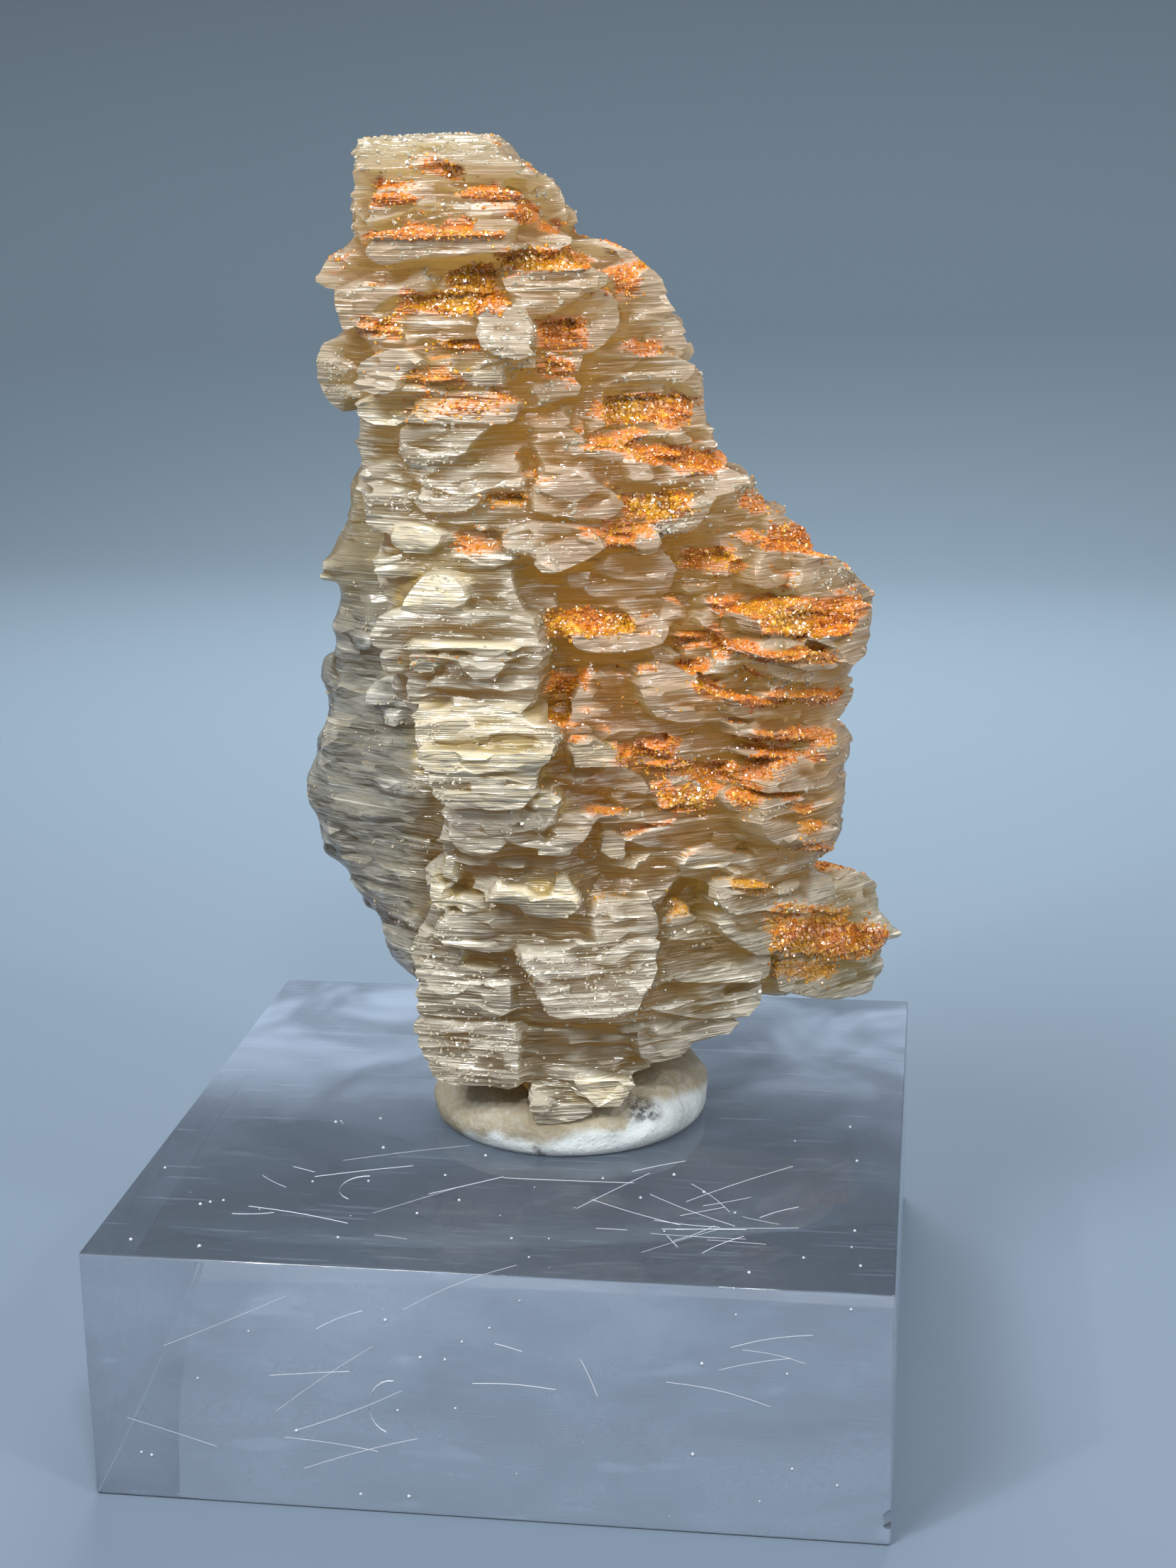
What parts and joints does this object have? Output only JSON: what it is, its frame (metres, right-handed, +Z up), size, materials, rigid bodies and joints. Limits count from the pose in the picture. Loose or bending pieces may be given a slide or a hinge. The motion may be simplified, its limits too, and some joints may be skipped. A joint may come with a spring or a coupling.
{
  "type": "mineral specimen of cerussite with wulfenite on a clear block",
  "caption": "Upright cluster of stacked flat translucent crystal plates with orange crusts in its hollows, set in a putty pad on a clear square block.",
  "frame": {"origin": "middle of the underside of the clear block", "axes": "+Z up, +X to the right and -Y towards someone who looks at the specimen's face"},
  "size_m": [0.0382, 0.0382, 0.0633],
  "materials": {
    "acrylic": "clear polished acrylic with fine scratches",
    "putty": "matt white putty, lightly soiled",
    "cerussite": "translucent, finely layered, glassy to pearly",
    "wulfenite": "crust of tiny bright orange crystals"
  },
  "bodies": {
    "root": {"acrylic_base": "acrylic", "mounting_putty": "putty", "cerussite": "cerussite", "wulfenite_crust_upper": "wulfenite", "wulfenite_crust_under_lens": "wulfenite", "wulfenite_crust_right_recess": "wulfenite", "wulfenite_crust_right_ledge": "wulfenite", "wulfenite_crust_centre": "wulfenite", "wulfenite_crust_wing": "wulfenite", "wulfenite_crust_gold": "wulfenite", "wulfenite_crust_low_wing": "wulfenite"}
  },
  "joints": []
}
